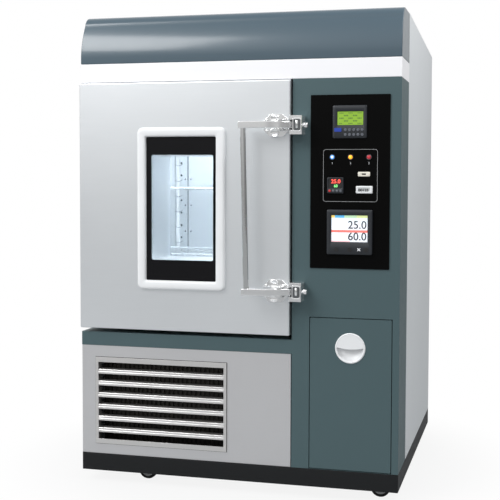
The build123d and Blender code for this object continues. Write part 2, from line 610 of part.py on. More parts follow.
# Handle: two arms that carry the upright bar on the left of the pivots
# and a short tongue on the right of them.
BAR_TOP_X = XR - 493.0
BAR_LOW_X = XR - 481.0
BAR_Y = YF - 74.0
BAR_R = 8.0
TONGUE_END = XR - 341.0
HUB_R = 14.0
ARM_ENDS = {LATCH_Z[0]: XR - 496.0, LATCH_Z[1]: XR - 508.0}
with BuildPart() as handle:
    for lz, arm_x in ARM_ENDS.items():
        post(PIVOT_X, PIVOT_Y, lz - ARM_H / 2, lz + ARM_H / 2, HUB_R)
        with BuildSketch(Plane.XY.offset(lz - ARM_H / 2)):
            with BuildLine():
                Polyline((arm_x, YF - HANDLE_OUT), (PIVOT_X - 40, YF - HANDLE_OUT), (PIVOT_X - 4, PIVOT_Y - 13),
                         (PIVOT_X + 8, PIVOT_Y - 4), (TONGUE_END - 1, PIVOT_Y + 9), (TONGUE_END, PIVOT_Y + 17),
                         (TONGUE_END - 5, PIVOT_Y + 22), (PIVOT_X + 4, PIVOT_Y + 13), (PIVOT_X - 8, PIVOT_Y + 10),
                         (PIVOT_X - 44, YF - 64), (arm_x, YF - 64), (arm_x, YF - HANDLE_OUT))
            make_face()
        extrude(amount=ARM_H)
    low = (BAR_LOW_X, BAR_Y, LATCH_Z[0] + ARM_H / 2 - 4)
    high = (BAR_TOP_X, BAR_Y, LATCH_Z[1] - ARM_H / 2 + 4)
    with BuildSketch(Plane(origin=low, z_dir=(high[0] - low[0], 0, high[2] - low[2]))):
        Circle(BAR_R)
    extrude(amount=((high[0] - low[0]) ** 2 + (high[2] - low[2]) ** 2) ** 0.5)
    for lz in LATCH_Z:
        post(PIVOT_X, PIVOT_Y, lz - ARM_H / 2 - 1, lz + ARM_H / 2 + 1, LATCH_PIN + 0.08, Mode.SUBTRACT)
save(handle, "door_handle")

# Strikes on the column: a housing open to the left with a roller in it.
STRIKE_X0 = XC + 1.0
STRIKE_X1 = STRIKE_X0 + 40.0
ROLLER_X = TONGUE_END + FIT + 0.5 + 7.5
ROLLER_Y = YF - 34.0
ROLLER_R = 7.5
with BuildPart() as strikes:
    for lz in LATCH_Z:
        block(STRIKE_X0, STRIKE_X1, YF - 49, YF, lz - 30, lz + 30)
        block(STRIKE_X0 - 1, STRIKE_X1 - 12, YF - 43, YF - 4, lz - 24, lz + 24, Mode.SUBTRACT)
        block(STRIKE_X0 - 1, STRIKE_X0 + 14, YF - 50, YF - 42, lz - 16, lz + 16, Mode.SUBTRACT)
save(strikes, "strike_housings")

with BuildPart() as rollers:
    for lz in LATCH_Z:
        post(ROLLER_X, ROLLER_Y, lz - 24, lz + 24, 3)
        post(ROLLER_X, ROLLER_Y, lz - 20, lz + 20, ROLLER_R)
save(rollers, "strike_rollers")

with BuildPart() as strike_screws:
    for lz in LATCH_Z:
        rod(YF - 24, lz, STRIKE_X1, STRIKE_X1 + 8, 5)
        rod(YF - 24, lz, STRIKE_X1 + 4, STRIKE_X1 + 14, 9)
    fillet(strike_screws.faces().group_by(Axis.X)[-1].edges(), 3.5)
save(strike_screws, "strike_screws")
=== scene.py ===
# %% [markdown]
# # An environmental test chamber
# The machine is a tall insulated cupboard on casters. A thick steel door with a double window closes the
# test space, a column on its right carries the instruments, and a louvred bay below holds the cooling
# machine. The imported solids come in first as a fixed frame, and every later piece is placed from them.

# %% Load the frame
import math
import bpy
import bmesh
from mathutils import Matrix, Vector


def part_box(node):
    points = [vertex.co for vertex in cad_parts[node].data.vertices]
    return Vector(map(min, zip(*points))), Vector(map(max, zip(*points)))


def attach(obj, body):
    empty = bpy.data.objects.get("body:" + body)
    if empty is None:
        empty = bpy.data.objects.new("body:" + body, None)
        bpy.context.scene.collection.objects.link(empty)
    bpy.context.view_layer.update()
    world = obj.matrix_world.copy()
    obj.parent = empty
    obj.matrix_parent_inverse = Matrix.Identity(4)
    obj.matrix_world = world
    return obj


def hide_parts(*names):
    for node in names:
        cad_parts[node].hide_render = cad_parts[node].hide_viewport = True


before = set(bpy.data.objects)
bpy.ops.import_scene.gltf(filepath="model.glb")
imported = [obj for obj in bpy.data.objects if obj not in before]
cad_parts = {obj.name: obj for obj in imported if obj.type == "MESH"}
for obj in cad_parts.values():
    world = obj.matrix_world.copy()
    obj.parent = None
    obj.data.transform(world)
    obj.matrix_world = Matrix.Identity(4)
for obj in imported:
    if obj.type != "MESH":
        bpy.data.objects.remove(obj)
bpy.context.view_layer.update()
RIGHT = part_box("side_panel_right")[1].x
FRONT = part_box("fascia_column")[0].y


def at(x, y, z):
    """A point from millimetres: left of the right side (negative), behind the fascia, above the floor."""
    return Vector((RIGHT + x / 1000, FRONT + y / 1000, z / 1000))


# %% [markdown]
# ## Shader maths as plain expressions
# A finish is easier to read as arithmetic than as a web of nodes. The class below wraps one output of a
# node, so `1 - mask * 0.3` adds the Math nodes by itself. Colours go through Mix nodes instead, because a
# Math node would turn them grey.

# %% Value and board helpers
class Val:
    def __init__(self, board, out):
        self.board, self.out = board, out

    def math(self, op, *args):
        return self.board.node("ShaderNodeMath", {"operation": op}, dict(enumerate(args)))

    def __add__(self, o): return self.math("ADD", self, o)
    def __radd__(self, o): return self.math("ADD", o, self)
    def __sub__(self, o): return self.math("SUBTRACT", self, o)
    def __rsub__(self, o): return self.math("SUBTRACT", o, self)
    def __mul__(self, o): return self.math("MULTIPLY", self, o)
    def __rmul__(self, o): return self.math("MULTIPLY", o, self)
    def __truediv__(self, o): return self.math("DIVIDE", self, o)
    def __rtruediv__(self, o): return self.math("DIVIDE", o, self)
    def __pow__(self, o): return self.math("POWER", self, o)
    def __abs__(self): return self.math("ABSOLUTE", self)
    def __lt__(self, o): return self.math("LESS_THAN", self, o)
    def __gt__(self, o): return self.math("GREATER_THAN", self, o)
    def most(self, o): return self.math("MAXIMUM", self, o)
    def root(self): return self.math("SQRT", self)
    def whole(self): return self.math("FLOOR", self)
    def part(self): return self.math("FRACT", self)

    def ramp(self, low, high):
        """0 below low, 1 above high, smooth between."""
        return self.board.node("ShaderNodeMapRange", {"interpolation_type": "SMOOTHSTEP"},
                               {"Value": self, "From Min": low, "From Max": high})


class Board:
    """One material being built: its nodes, its shader and its coordinates."""
    def __init__(self, name):
        self.mat = bpy.data.materials.new(name)
        self.mat.use_nodes = True
        self.tree = self.mat.node_tree
        self.shader = self.tree.nodes["Principled BSDF"]
        self.place = self.tree.nodes.new("ShaderNodeTexCoord").outputs["Object"]

    def node(self, kind, settings=None, sockets=None, out=0):
        n = self.tree.nodes.new(kind)
        for key, value in (settings or {}).items():
            setattr(n, key, value)
        for key, value in (sockets or {}).items():
            self.feed(n.inputs[key], value)
        return Val(self, n.outputs[out])

    def feed(self, socket, value):
        if isinstance(value, Val):
            self.tree.links.new(value.out, socket)
        elif isinstance(value, bpy.types.NodeSocket):
            self.tree.links.new(value, socket)
        elif isinstance(value, tuple) and len(value) == 3 and socket.type == "RGBA":
            socket.default_value = (*value, 1)
        else:
            socket.default_value = value

    def set(self, **values):
        for key, value in values.items():
            self.feed(self.shader.inputs[key.replace("_", " ")], value)

    def xyz(self):
        n = self.tree.nodes.new("ShaderNodeSeparateXYZ")
        self.tree.links.new(self.place, n.inputs[0])
        return [Val(self, o) for o in n.outputs]

    def stretched(self, x, y, z):
        return self.node("ShaderNodeMapping", {}, {"Vector": self.place, "Scale": (x, y, z)})

    def noise(self, scale, detail=2.0, where=None, rough=0.5):
        return self.node("ShaderNodeTexNoise", {}, {"Vector": where or self.place, "Scale": scale,
                                                    "Detail": detail, "Roughness": rough})

    def mix(self, factor, a, b):
        n = self.tree.nodes.new("ShaderNodeMix")
        n.data_type = "RGBA"
        self.feed(n.inputs[0], factor)
        self.feed(n.inputs[6], a)
        self.feed(n.inputs[7], b)
        return Val(self, n.outputs[2])

    def bump(self, height, strength, distance):
        return self.node("ShaderNodeBump", {}, {"Height": height, "Strength": strength, "Distance": distance})


def shade(colour, k):
    """The same colour lighter or darker, as numbers."""
    return tuple(min(1.0, c * k) for c in colour)


# %% [markdown]
# ## Coated sheet
# Powder coat on steel is never one flat colour: it has a fine orange peel, a slow drift in tone, and a
# little dust that dulls the gloss. Two noises at very different sizes give that.

# %% Paint finish
def paint(name, colour, rough, peel=0.12, drift=0.04, coat=0.0):
    b = Board(name)
    slow = b.noise(2.2, 3)
    dust = b.noise(38, 4)
    b.set(Base_Color=b.mix(slow, shade(colour, 1 - drift), shade(colour, 1 + drift)),
          Roughness=rough + (dust - 0.5) * 0.10,
          Normal=b.bump(b.noise(420, 2), peel, 0.0004))
    b.set(Specular_IOR_Level=0.3)
    if coat:
        b.set(Coat_Weight=coat, Coat_Roughness=0.16)
    return b.mat


teal_paint = paint("teal_paint", (0.066, 0.108, 0.118), 0.45)
# The canopy has the column's teal paint under a clear coat; its darker, bluer colour is painted shade.
canopy_teal_shaded_copy = paint("canopy_teal_shaded_copy", (0.058, 0.092, 0.118), 0.34, coat=0.5)
grey_paint = paint("grey_paint", (0.68, 0.71, 0.73), 0.45)
band_paint = paint("band_paint", (0.86, 0.86, 0.885), 0.35, drift=0.02)
black_paint = paint("black_paint", (0.005, 0.006, 0.007), 0.5, peel=0.2)
foam_skin = paint("foam_skin", (0.62, 0.56, 0.40), 0.9, peel=0.5)


# %% [markdown]
# ## Brushed and satin steel
# Brushing leaves thousands of hair lines in one direction. A noise squeezed hard across the brushing
# direction gives the lines, and it moves roughness and bump together, as real scratches do.

# %% Steel finishes
def brushed(name, colour, rough, run, lines=0.05, metal=1.0, scale=1.0):
    """run is 0, 1 or 2 for hair lines along X, Y or Z."""
    b = Board(name)
    stretch = [260 * scale] * 3
    stretch[run] = 3 * scale
    hair = b.noise(3, 3, b.stretched(*stretch), 0.6)
    cloud = b.noise(1.7, 2)
    b.set(Base_Color=b.mix(hair * 0.5 + cloud * 0.5, shade(colour, 0.95), shade(colour, 1.05)),
          Metallic=metal,
          Roughness=rough + (hair - 0.5) * lines * 2 + (cloud - 0.5) * 0.05,
          Normal=b.bump(hair, 0.06, 0.0003))
    return b.mat


door_steel = brushed("door_steel", (0.76, 0.785, 0.805), 0.40, 0, metal=0.92)
panel_steel = brushed("panel_steel", (0.64, 0.64, 0.65), 0.42, 0, metal=0.9)
liner_steel = brushed("liner_steel", (0.80, 0.83, 0.86), 0.34, 2, metal=0.8)
blade_metal = brushed("blade_metal", (0.68, 0.67, 0.66), 0.38, 0, metal=0.9)
coil_metal = brushed("coil_metal", (0.020, 0.017, 0.013), 0.6, 2, metal=0.4)
plated_fork = brushed("plated_fork", (0.30, 0.30, 0.31), 0.40, 2)


# %% [markdown]
# ## Plated, moulded and soft finishes
# Plating over a casting is smooth with a faint ripple from the casting below. Mouldings have a fine
# spark-eroded grain, and rubber is matt with a mould bloom.

# %% Chrome, plastics and rubber
def chrome(name, colour=(0.96, 0.965, 0.97), rough=0.07, metal=0.86):
    b = Board(name)
    ripple = b.noise(45, 2)
    haze = b.noise(160, 3)
    b.set(Base_Color=b.mix(haze, shade(colour, 0.97), colour), Metallic=metal,
          Roughness=rough + haze * 0.07, Normal=b.bump(ripple, 0.05, 0.0006))
    return b.mat


def moulded(name, colour, rough, grain=0.12, scale=900, coat=0.0):
    b = Board(name)
    tone = b.noise(9, 2)
    b.set(Base_Color=b.mix(tone, shade(colour, 0.95), shade(colour, 1.05)),
          Roughness=rough + (tone - 0.5) * 0.08, Normal=b.bump(b.noise(scale, 1), grain, 0.0002))
    if coat:
        b.set(Coat_Weight=coat, Coat_Roughness=0.06)
    return b.mat


chrome_cast = chrome("chrome_cast")
chrome_bar = chrome("chrome_bar", (0.86, 0.87, 0.87), rough=0.04, metal=1.0)
shadow_chrome = chrome("shadow_chrome", (0.20, 0.21, 0.22), 0.2, 1.0)
white_moulding = moulded("white_moulding", (0.79, 0.805, 0.82), 0.36, 0.05)
case_plastic = moulded("case_plastic", (0.011, 0.014, 0.019), 0.5)
key_plastic = moulded("key_plastic", (0.008, 0.008, 0.009), 0.45)
light_window = moulded("light_window", (0.62, 0.64, 0.64), 0.35)
grey_key = moulded("grey_key", (0.10, 0.11, 0.13), 0.45)
blue_key = moulded("blue_key", (0.015, 0.05, 0.36), 0.35)
red_key = moulded("red_key", (0.55, 0.03, 0.03), 0.4)
cream_plastic = moulded("cream_plastic", (0.78, 0.75, 0.66), 0.4)
tank_plastic = moulded("tank_plastic", (0.72, 0.77, 0.79), 0.45, 0.2)
# This dark fill is used for real dark insets, and as painted shade in the gap round the louvre.
dark_inset_and_gap_shade = moulded("dark_inset_and_gap_shade", (0.006, 0.006, 0.007), 0.6)
seal_rubber = moulded("seal_rubber", (0.018, 0.018, 0.019), 0.72, 0.3, 500)
tyre_rubber = moulded("tyre_rubber", (0.016, 0.016, 0.017), 0.66, 0.35, 420)
hub_plastic = moulded("hub_plastic", (0.55, 0.56, 0.57), 0.5)

# %% [markdown]
# ## Dressing the kept solids
# Flat sheet-metal pieces are right as they come from the frame. They only need their finish and, where
# the eye meets an edge, a small live bevel. Their mesh is loose triangles, so a Weld comes before it.

# %% Dress the solids that stay
def dress(finish, *nodes, edge=0.0, segments=2):
    for n in nodes:
        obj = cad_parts[n]
        obj.data.materials.clear()
        obj.data.materials.append(finish)
        if edge:
            weld = obj.modifiers.new("weld", "WELD")
            weld.merge_threshold = 0.00002
            bevel = obj.modifiers.new("edge", "BEVEL")
            bevel.width, bevel.segments = edge, segments
            bevel.limit_method, bevel.angle_limit = "ANGLE", math.radians(50)
            bevel.harden_normals = False


dress(black_paint, "base_skirt", "base_plate", edge=0.0012)
dress(teal_paint, "fascia_column", "fascia_beam", "service_door", edge=0.0012)
dress(band_paint, "front_band")
dress(grey_paint, "side_panel_left", "side_panel_right", "roof_panel", "rear_panel")
dress(foam_skin, "cabinet_insulation")
dress(liner_steel, "chamber_liner", "door_seat_frame", "door_plug", "shelf_uprights", "shelf_brackets",
      "wire_shelves", "air_baffle", "fan_motor", "cable_port_sleeve", "circulation_fan")
dress(door_steel, "door_shell")
dress(panel_steel, "lower_front_panel")
dress(coil_metal, "condenser_coil")
dress(tank_plastic, "water_tank")
dress(seal_rubber, "door_gasket")
dress(chrome_cast, "strike_housings", "strike_screws", edge=0.001)
dress(chrome_cast, "strike_rollers", "hinge_cabinet_leaves", "hinge_door_leaves")
dress(plated_fork, *["caster_fork_" + c for c in ("front_left", "front_right", "rear_left", "rear_right")])
print("kept solids dressed:", len(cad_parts))


# %% [markdown]
# ## Small builders for the new pieces
# Three shapes do most of the work: a box between two corners, an outline pushed out along one axis, and
# a drawn half-section turned round an axis. Each adds to a bmesh, and `finish_piece` turns it into an
# object that rides on its body.

# %% Builders
def box_into(bm, a, b):
    """Box between two corners."""
    a, b = Vector(a), Vector(b)
    made = bmesh.ops.create_cube(bm, size=1)["verts"]
    bmesh.ops.scale(bm, vec=[abs(v) for v in (b - a)], verts=made)
    bmesh.ops.translate(bm, vec=(a + b) / 2, verts=made)
    return made


def rod_into(bm, a, b, r, sides=32):
    """Round bar from a to b."""
    a, b = Vector(a), Vector(b)
    run = b - a
    turn = run.to_track_quat("Z", "Y").to_matrix().to_4x4()
    place = Matrix.Translation((a + b) / 2) @ turn
    return bmesh.ops.create_cone(bm, cap_ends=True, segments=sides, radius1=r, radius2=r,
                                 depth=run.length, matrix=place)["verts"]


def outline_into(bm, points, push):
    """Closed outline of points pushed out by the vector push."""
    face = bm.faces.new([bm.verts.new(p) for p in points])
    made = bmesh.ops.extrude_face_region(bm, geom=[face])["geom"]
    moved = [v for v in made if isinstance(v, bmesh.types.BMVert)]
    bmesh.ops.translate(bm, vec=push, verts=moved)
    return moved


def turned_into(bm, section, centre, axis=(0, 1, 0), steps=64):
    """Half-section of (distance along axis, radius) turned round the axis through centre."""
    axis = Vector(axis).normalized()
    side = axis.orthogonal().normalized()
    verts = [bm.verts.new(Vector(centre) + axis * h + side * r) for h, r in section]
    edges = [bm.edges.new(pair) for pair in zip(verts, verts[1:])]
    bmesh.ops.spin(bm, geom=verts + edges, cent=centre, axis=axis, angle=2 * math.pi, steps=steps,
                   use_merge=True)
    bmesh.ops.remove_doubles(bm, verts=bm.verts, dist=1e-6)


def rounded_rect(cx, cz, w, h, r, y, steps=6):
    """Points of a rounded rectangle that faces the front."""
    pts = []
    for k, (sx, sz) in enumerate(((1, 1), (-1, 1), (-1, -1), (1, -1))):
        for n in range(steps + 1):
            a = math.pi / 2 * (k + n / steps)
            pts.append((cx + sx * (w / 2 - r) + r * math.cos(a), y, cz + sz * (h / 2 - r) + r * math.sin(a)))
    return pts


def walls(bm, rings):
    """Sheet that runs from each ring of points to the next; gives the edges of the last ring."""
    verts = [bm.verts.new(p) for p in rings[0]]
    edges = [bm.edges.new((verts[i - 1], verts[i])) for i in range(len(verts))]
    for before, after in zip(rings, rings[1:]):
        made = bmesh.ops.extrude_edge_only(bm, edges=edges)["geom"]
        fresh = {g for g in made if isinstance(g, bmesh.types.BMVert)}
        edges = [g for g in made if isinstance(g, bmesh.types.BMEdge) and fresh.issuperset(g.verts)]
        for v in fresh:
            n = min(range(len(before)), key=lambda k: (Vector(before[k]) - v.co).length)
            v.co = after[n]
    return edges


def finish_piece(name, bm, finish, body="cabinet", replaces=(), edge=0.0, segments=3, angle=38):
    """Object from the bmesh that rides on its body, with a live bevel where edge is given."""
    bmesh.ops.recalc_face_normals(bm, faces=bm.faces)
    mesh = bpy.data.meshes.new(name)
    bm.to_mesh(mesh)
    bm.free()
    mesh.materials.append(finish)
    for p in mesh.polygons:
        p.use_smooth = True
    mesh.set_sharp_from_angle(angle=math.radians(angle))
    obj = bpy.data.objects.new(name, mesh)
    bpy.context.scene.collection.objects.link(obj)
    if edge:
        bevel = obj.modifiers.new("edge", "BEVEL")
        bevel.width, bevel.segments = edge, segments
        bevel.limit_method, bevel.angle_limit = "ANGLE", math.radians(35)
        bevel.harden_normals = True
    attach(obj, body)
    if replaces:
        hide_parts(*replaces)
    return obj


# %% [markdown]
# ## The canopy
# The canopy is one folded and rolled sheet: its face leans back as it rises and rolls over into the top.
# A smooth section line pushed across the width gives it, with the sheet's small round at both ends.

# %% Canopy
low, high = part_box("canopy")
rise = high.z - low.z
section = [(0.0, 0.0), (0.0, 0.022)]
for k in range(1, 15):
    t = k / 14
    section.append((0.034 * t ** 1.75, 0.022 + 0.112 * t))
for k in range(1, 13):
    a = math.pi / 2 * k / 12
    section.append((0.034 + 0.006 * math.sin(a) + 0.034 * (1 - math.cos(a)),
                    0.134 + (rise - 0.134) * math.sin(a)))
section += [(high.y - low.y, rise), (high.y - low.y, 0.0)]
bm = bmesh.new()
outline_into(bm, [(low.x, low.y + y, low.z + z) for y, z in section], (high.x - low.x, 0, 0))
finish_piece("canopy_sheet", bm, canopy_teal_shaded_copy, replaces=["canopy"], edge=0.003, segments=3, angle=50)
print("canopy", round(high.x - low.x, 3), "wide,", round(rise, 3), "high")

# %% [markdown]
# ## The louvre
# The grille is a folded frame with six pressed blades. Each blade has a stepped front lip and a shelf that
# runs back, so fingers stay out while air gets in. A thin dark strip round the frame is painted shade in the
# gap.

# %% Louvre grille
low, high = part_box("louvre_grille")
bm = bmesh.new()
bx0, bx1 = low.x + 0.010, high.x - 0.010
box_into(bm, (low.x, FRONT - 0.0015, high.z - 0.017), (high.x, FRONT + 0.002, high.z))
box_into(bm, (low.x, FRONT - 0.0015, low.z), (high.x, FRONT + 0.002, low.z + 0.016))
box_into(bm, (low.x, FRONT - 0.0014, low.z + 0.0161), (bx0, FRONT + 0.002, high.z - 0.0171))
box_into(bm, (bx1, FRONT - 0.0014, low.z + 0.0161), (high.x, FRONT + 0.002, high.z - 0.0171))
for n in range(6):
    top = high.z - 0.035 - n * 0.040
    blade = [(0.0030, -0.0222), (-0.0004, -0.0222), (-0.0012, -0.0212), (-0.0012, -0.0152),
             (-0.0004, -0.0142), (-0.0004, -0.0078), (0.0006, -0.0066), (0.0220, -0.0043),
             (0.0220, -0.0058), (0.0022, -0.0080), (0.0010, -0.0092), (0.0010, -0.0208), (0.0030, -0.0208)]
    outline_into(bm, [(bx0, FRONT + y, top + z) for y, z in blade], (bx1 - bx0, 0, 0))
for x0, x1 in ((bx0 - 0.001, bx0), (bx1, bx1 + 0.001)):
    box_into(bm, (x0, FRONT + 0.002, low.z + 0.016), (x1, FRONT + 0.026, high.z - 0.017))
finish_piece("louvre_blades", bm, blade_metal, replaces=["louvre_grille"], edge=0.0003, segments=2)
# A thin dark strip just behind the frame's edge: painted shade in the gap round the grille.
bm = bmesh.new()
for x0, x1, z0, z1 in ((low.x - 0.0014, high.x + 0.0014, high.z, high.z + 0.0014),
                       (low.x - 0.0014, high.x + 0.0014, low.z - 0.0014, low.z),
                       (low.x - 0.0014, low.x, low.z, high.z), (high.x, high.x + 0.0014, low.z, high.z)):
    box_into(bm, (x0, FRONT + 0.0012, z0), (x1, FRONT + 0.0020, z1))
finish_piece("louvre_gap_shade", bm, dark_inset_and_gap_shade)

# %% [markdown]
# ## Casters
# A solid tyre on a moulded hub, drawn as a half-section and turned round the axle. One section serves
# all four wheels.

# %% Wheels
for corner in ("front_left", "front_right", "rear_left", "rear_right"):
    low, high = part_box("caster_wheel_" + corner)
    mid, r, axis = (low + high) / 2, (high.z - low.z) / 2, (1, 0, 0) if "rear" in corner else (0, 1, 0)
    w = min(high.x - low.x, high.y - low.y) / 2
    bm = bmesh.new()
    tread = [(-w, r * 0.70), (-w, r * 0.86), (-w * 0.82, r * 0.955), (-w * 0.5, r * 0.995), (0, r),
             (w * 0.5, r * 0.995), (w * 0.82, r * 0.955), (w, r * 0.86), (w, r * 0.70),
             (0, r * 0.66), (-w, r * 0.70)]
    turned_into(bm, tread, mid, axis, 48)
    finish_piece("tyre_" + corner, bm, tyre_rubber, "wheel_" + corner, ["caster_wheel_" + corner])
    bm = bmesh.new()
    hub = [(-w * 0.98, 0.0042), (-w * 0.98, 0.009), (-w * 0.45, 0.011), (-w * 0.45, r * 0.58),
           (-w * 0.8, r * 0.62), (-w * 0.8, r * 0.70), (0, r * 0.665), (w * 0.8, r * 0.70),
           (w * 0.8, r * 0.62), (w * 0.45, r * 0.58),
           (w * 0.45, 0.011), (w * 0.98, 0.009), (w * 0.98, 0.0042), (-w * 0.98, 0.0042)]
    turned_into(bm, hub, mid, axis, 48)
    finish_piece("hub_" + corner, bm, hub_plastic, "wheel_" + corner)

# %% [markdown]
# ## The window
# A soft white moulding frames a black-edged pane. The black is printed on the glass, so one material makes
# both: a rounded rectangle, worked out from the distance to its edge, is clear, and the rest is opaque.

# %% Distance to a rounded rectangle
def rect_distance(b, cx, cz, w, h, r):
    """Distance in metres from the edge of a rounded rectangle on the front, negative inside."""
    x, _, z = b.xyz()
    qx = (abs(x - cx) - (w / 2 - r)).most(0)
    qz = (abs(z - cz) - (h / 2 - r)).most(0)
    return (qx * qx + qz * qz).root() - r


def glass_pane(name, clear, print_colour):
    b = Board(name)
    cx, cz, w, h = clear
    printed = rect_distance(b, cx, cz, w, h, 0.006).ramp(-0.0005, 0.0005)
    smear = b.noise(14, 3)
    b.set(Base_Color=b.mix(printed, (0.55, 0.66, 0.72), print_colour), Alpha=0.10 + printed * 0.90,
          Roughness=0.05 + smear * 0.05 + printed * 0.06, Normal=b.bump(smear, 0.01, 0.001))
    b.set(IOR=1.5, Specular_IOR_Level=0.25)
    return b.mat


view_x0, view_x1 = at(-825, 0, 0).x, at(-611, 0, 0).x
view_z0, view_z1 = 0.763, 1.1095
view = ((view_x0 + view_x1) / 2, (view_z0 + view_z1) / 2, view_x1 - view_x0, view_z1 - view_z0)
dress(glass_pane("printed_glass", view, (0.004, 0.004, 0.005)), "window_glass")
dress(glass_pane("plain_glass", (view[0], view[1], 1.0, 1.0), (0.0, 0.0, 0.0)), "window_inner_glass")

low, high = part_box("window_rim")
bm = bmesh.new()
cx, cz = (low.x + high.x) / 2, (low.z + high.z) / 2
w, h = high.x - low.x, high.z - low.z
glow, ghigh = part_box("window_glass")
gx, gz, gw, gh = (glow.x + ghigh.x) / 2, (glow.z + ghigh.z) / 2, ghigh.x - glow.x, ghigh.z - glow.z
walls(bm, [rounded_rect(a, c, ww, hh, r, y, 8) for a, c, ww, hh, r, y in (
    (cx, cz, w, h, 0.019, high.y), (cx, cz, w, h, 0.019, high.y - 0.0040),
    (cx, cz, w - 0.0016, h - 0.0016, 0.0182, high.y - 0.0072),
    (cx, cz, w - 0.0060, h - 0.0060, 0.0165, high.y - 0.0100),
    (cx, cz, w - 0.0120, h - 0.0120, 0.0150, high.y - 0.0114),
    (cx, cz, w - 0.0200, h - 0.0200, 0.0130, low.y),
    (gx, gz, gw + 0.0120, gh + 0.0120, 0.0090, low.y + 0.0004),
    (gx, gz, gw + 0.0050, gh + 0.0050, 0.0070, low.y + 0.0018),
    (gx, gz, gw, gh, 0.0055, low.y + 0.0050), (gx, gz, gw - 0.0006, gh - 0.0006, 0.0050, high.y - 0.0002))])
finish_piece("window_frame", bm, white_moulding, "main_door", ["window_rim"], angle=60)

# %% [markdown]
# ## The control panel
# A gloss black sheet with a fine line printed round the indicators. The line is a band of the same
# rounded-rectangle distance that cuts the window.

# %% Panel sheet
b = Board("panel_gloss")
line_x0, line_x1, line_z0, line_z1 = at(-247, 0, 0).x, at(-74, 0, 0).x, 0.9612, 1.1257
d = rect_distance(b, (line_x0 + line_x1) / 2, (line_z0 + line_z1) / 2,
                  line_x1 - line_x0, line_z1 - line_z0, 0.008)
line = 1 - abs(d).ramp(0.0002, 0.0008)
dust = b.noise(60, 4)
b.set(Base_Color=b.mix(line, (0.0025, 0.0025, 0.0025), (0.40, 0.41, 0.42)),
      Roughness=0.13 + dust * 0.10 + line * 0.3)
b.set(Specular_IOR_Level=0.06)
dress(b.mat, "control_panel", edge=0.0008)


# %% [markdown]
# ## Instruments
# Every instrument is a rounded case that stands off the panel, with a recessed window. The case is an
# outline pushed out, inset for the window and pushed back in.

# %% Instrument case builder
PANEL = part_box("control_panel")[0].y


def case(name, node, window, depth, finish, radius=0.004, lip=0.0015):
    """Rounded case in the place of a node; window is (x0, x1, z0, z1) in metres, sunk by depth."""
    low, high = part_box(node)
    bm = bmesh.new()
    cx, cz = (low.x + high.x) / 2, (low.z + high.z) / 2
    w, h = high.x - low.x, high.z - low.z
    wx, wz = (window[0] + window[1]) / 2, (window[2] + window[3]) / 2
    ww, wh = window[1] - window[0], window[3] - window[2]
    rings = [(cx, cz, w, h, radius, y) for w, h, y in (
        (w, h, PANEL), (w, h, low.y + 0.0035), (w - 0.0015, h - 0.0015, low.y + 0.0012),
        (w - 0.005, h - 0.005, low.y))]
    rings += [(wx, wz, ww + 2 * lip, wh + 2 * lip, 0.0020, low.y), (wx, wz, ww, wh, 0.0016, low.y + lip),
              (wx, wz, ww, wh, 0.0016, low.y + depth)]
    last = walls(bm, [rounded_rect(*ring, 5) for ring in rings])
    bmesh.ops.contextual_create(bm, geom=last)
    return finish_piece(name, bm, finish, replaces=[node], angle=50)


def plate(bm, x0, x1, z0, z1, back, front, r=0.001):
    """Small rounded plate facing the front, between two depths."""
    points = rounded_rect((x0 + x1) / 2, (z0 + z1) / 2, x1 - x0, z1 - z0, r, back, 4)
    outline_into(bm, points, (0, front - back, 0))


def numerals(name, words, x, z, y, size, finish, body="cabinet", align="CENTER", stretch=1.0,
             weight=0.0):
    """Flat figures facing the front, turned into a mesh and moved to their place."""
    curve = bpy.data.curves.new(name, "FONT")
    curve.body, curve.size, curve.align_x, curve.align_y = words, size, align, "CENTER"
    curve.extrude, curve.offset = 0.00015, weight
    text = bpy.data.objects.new(name + "_drawn", curve)
    bpy.context.scene.collection.objects.link(text)
    bpy.context.view_layer.update()
    mesh = bpy.data.meshes.new_from_object(text)
    bpy.data.objects.remove(text)
    upright = Matrix.Rotation(math.pi / 2, 4, "X") @ Matrix.Diagonal((stretch, 1, 1, 1))
    mesh.transform(Matrix.Translation((x, y, z)) @ upright)
    mesh.materials.clear()
    mesh.materials.append(finish)
    obj = bpy.data.objects.new(name, mesh)
    bpy.context.scene.collection.objects.link(obj)
    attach(obj, body)
    return obj


def lit(name, colour, strength, speckle=0.1):
    """A glowing display colour with a faint pixel mottle."""
    b = Board(name)
    grain = b.noise(900, 1)
    tone = b.mix(grain, shade(colour, 1 - speckle), colour)
    b.set(Base_Color=tone, Emission_Color=tone, Roughness=0.25 + grain * 0.1)
    b.set(Emission_Strength=strength)
    return b.mat


# The white ink glows a little though it is no lamp: painted light on print.
ink_white_painted_glow = lit("ink_white_painted_glow", (0.75, 0.77, 0.80), 0.25)
ink_dark = moulded("ink_dark", (0.02, 0.022, 0.03), 0.5)
red_glow = lit("red_glow", (0.95, 0.10, 0.07), 1.0)
green_glow = lit("green_glow", (0.25, 0.85, 0.25), 0.8)

# %% [markdown]
# ### The chart recorder
# Its screen is one lit sheet with a coloured strip above, a red bar in the middle and a pale strip at the
# foot. The figures are plain readings.

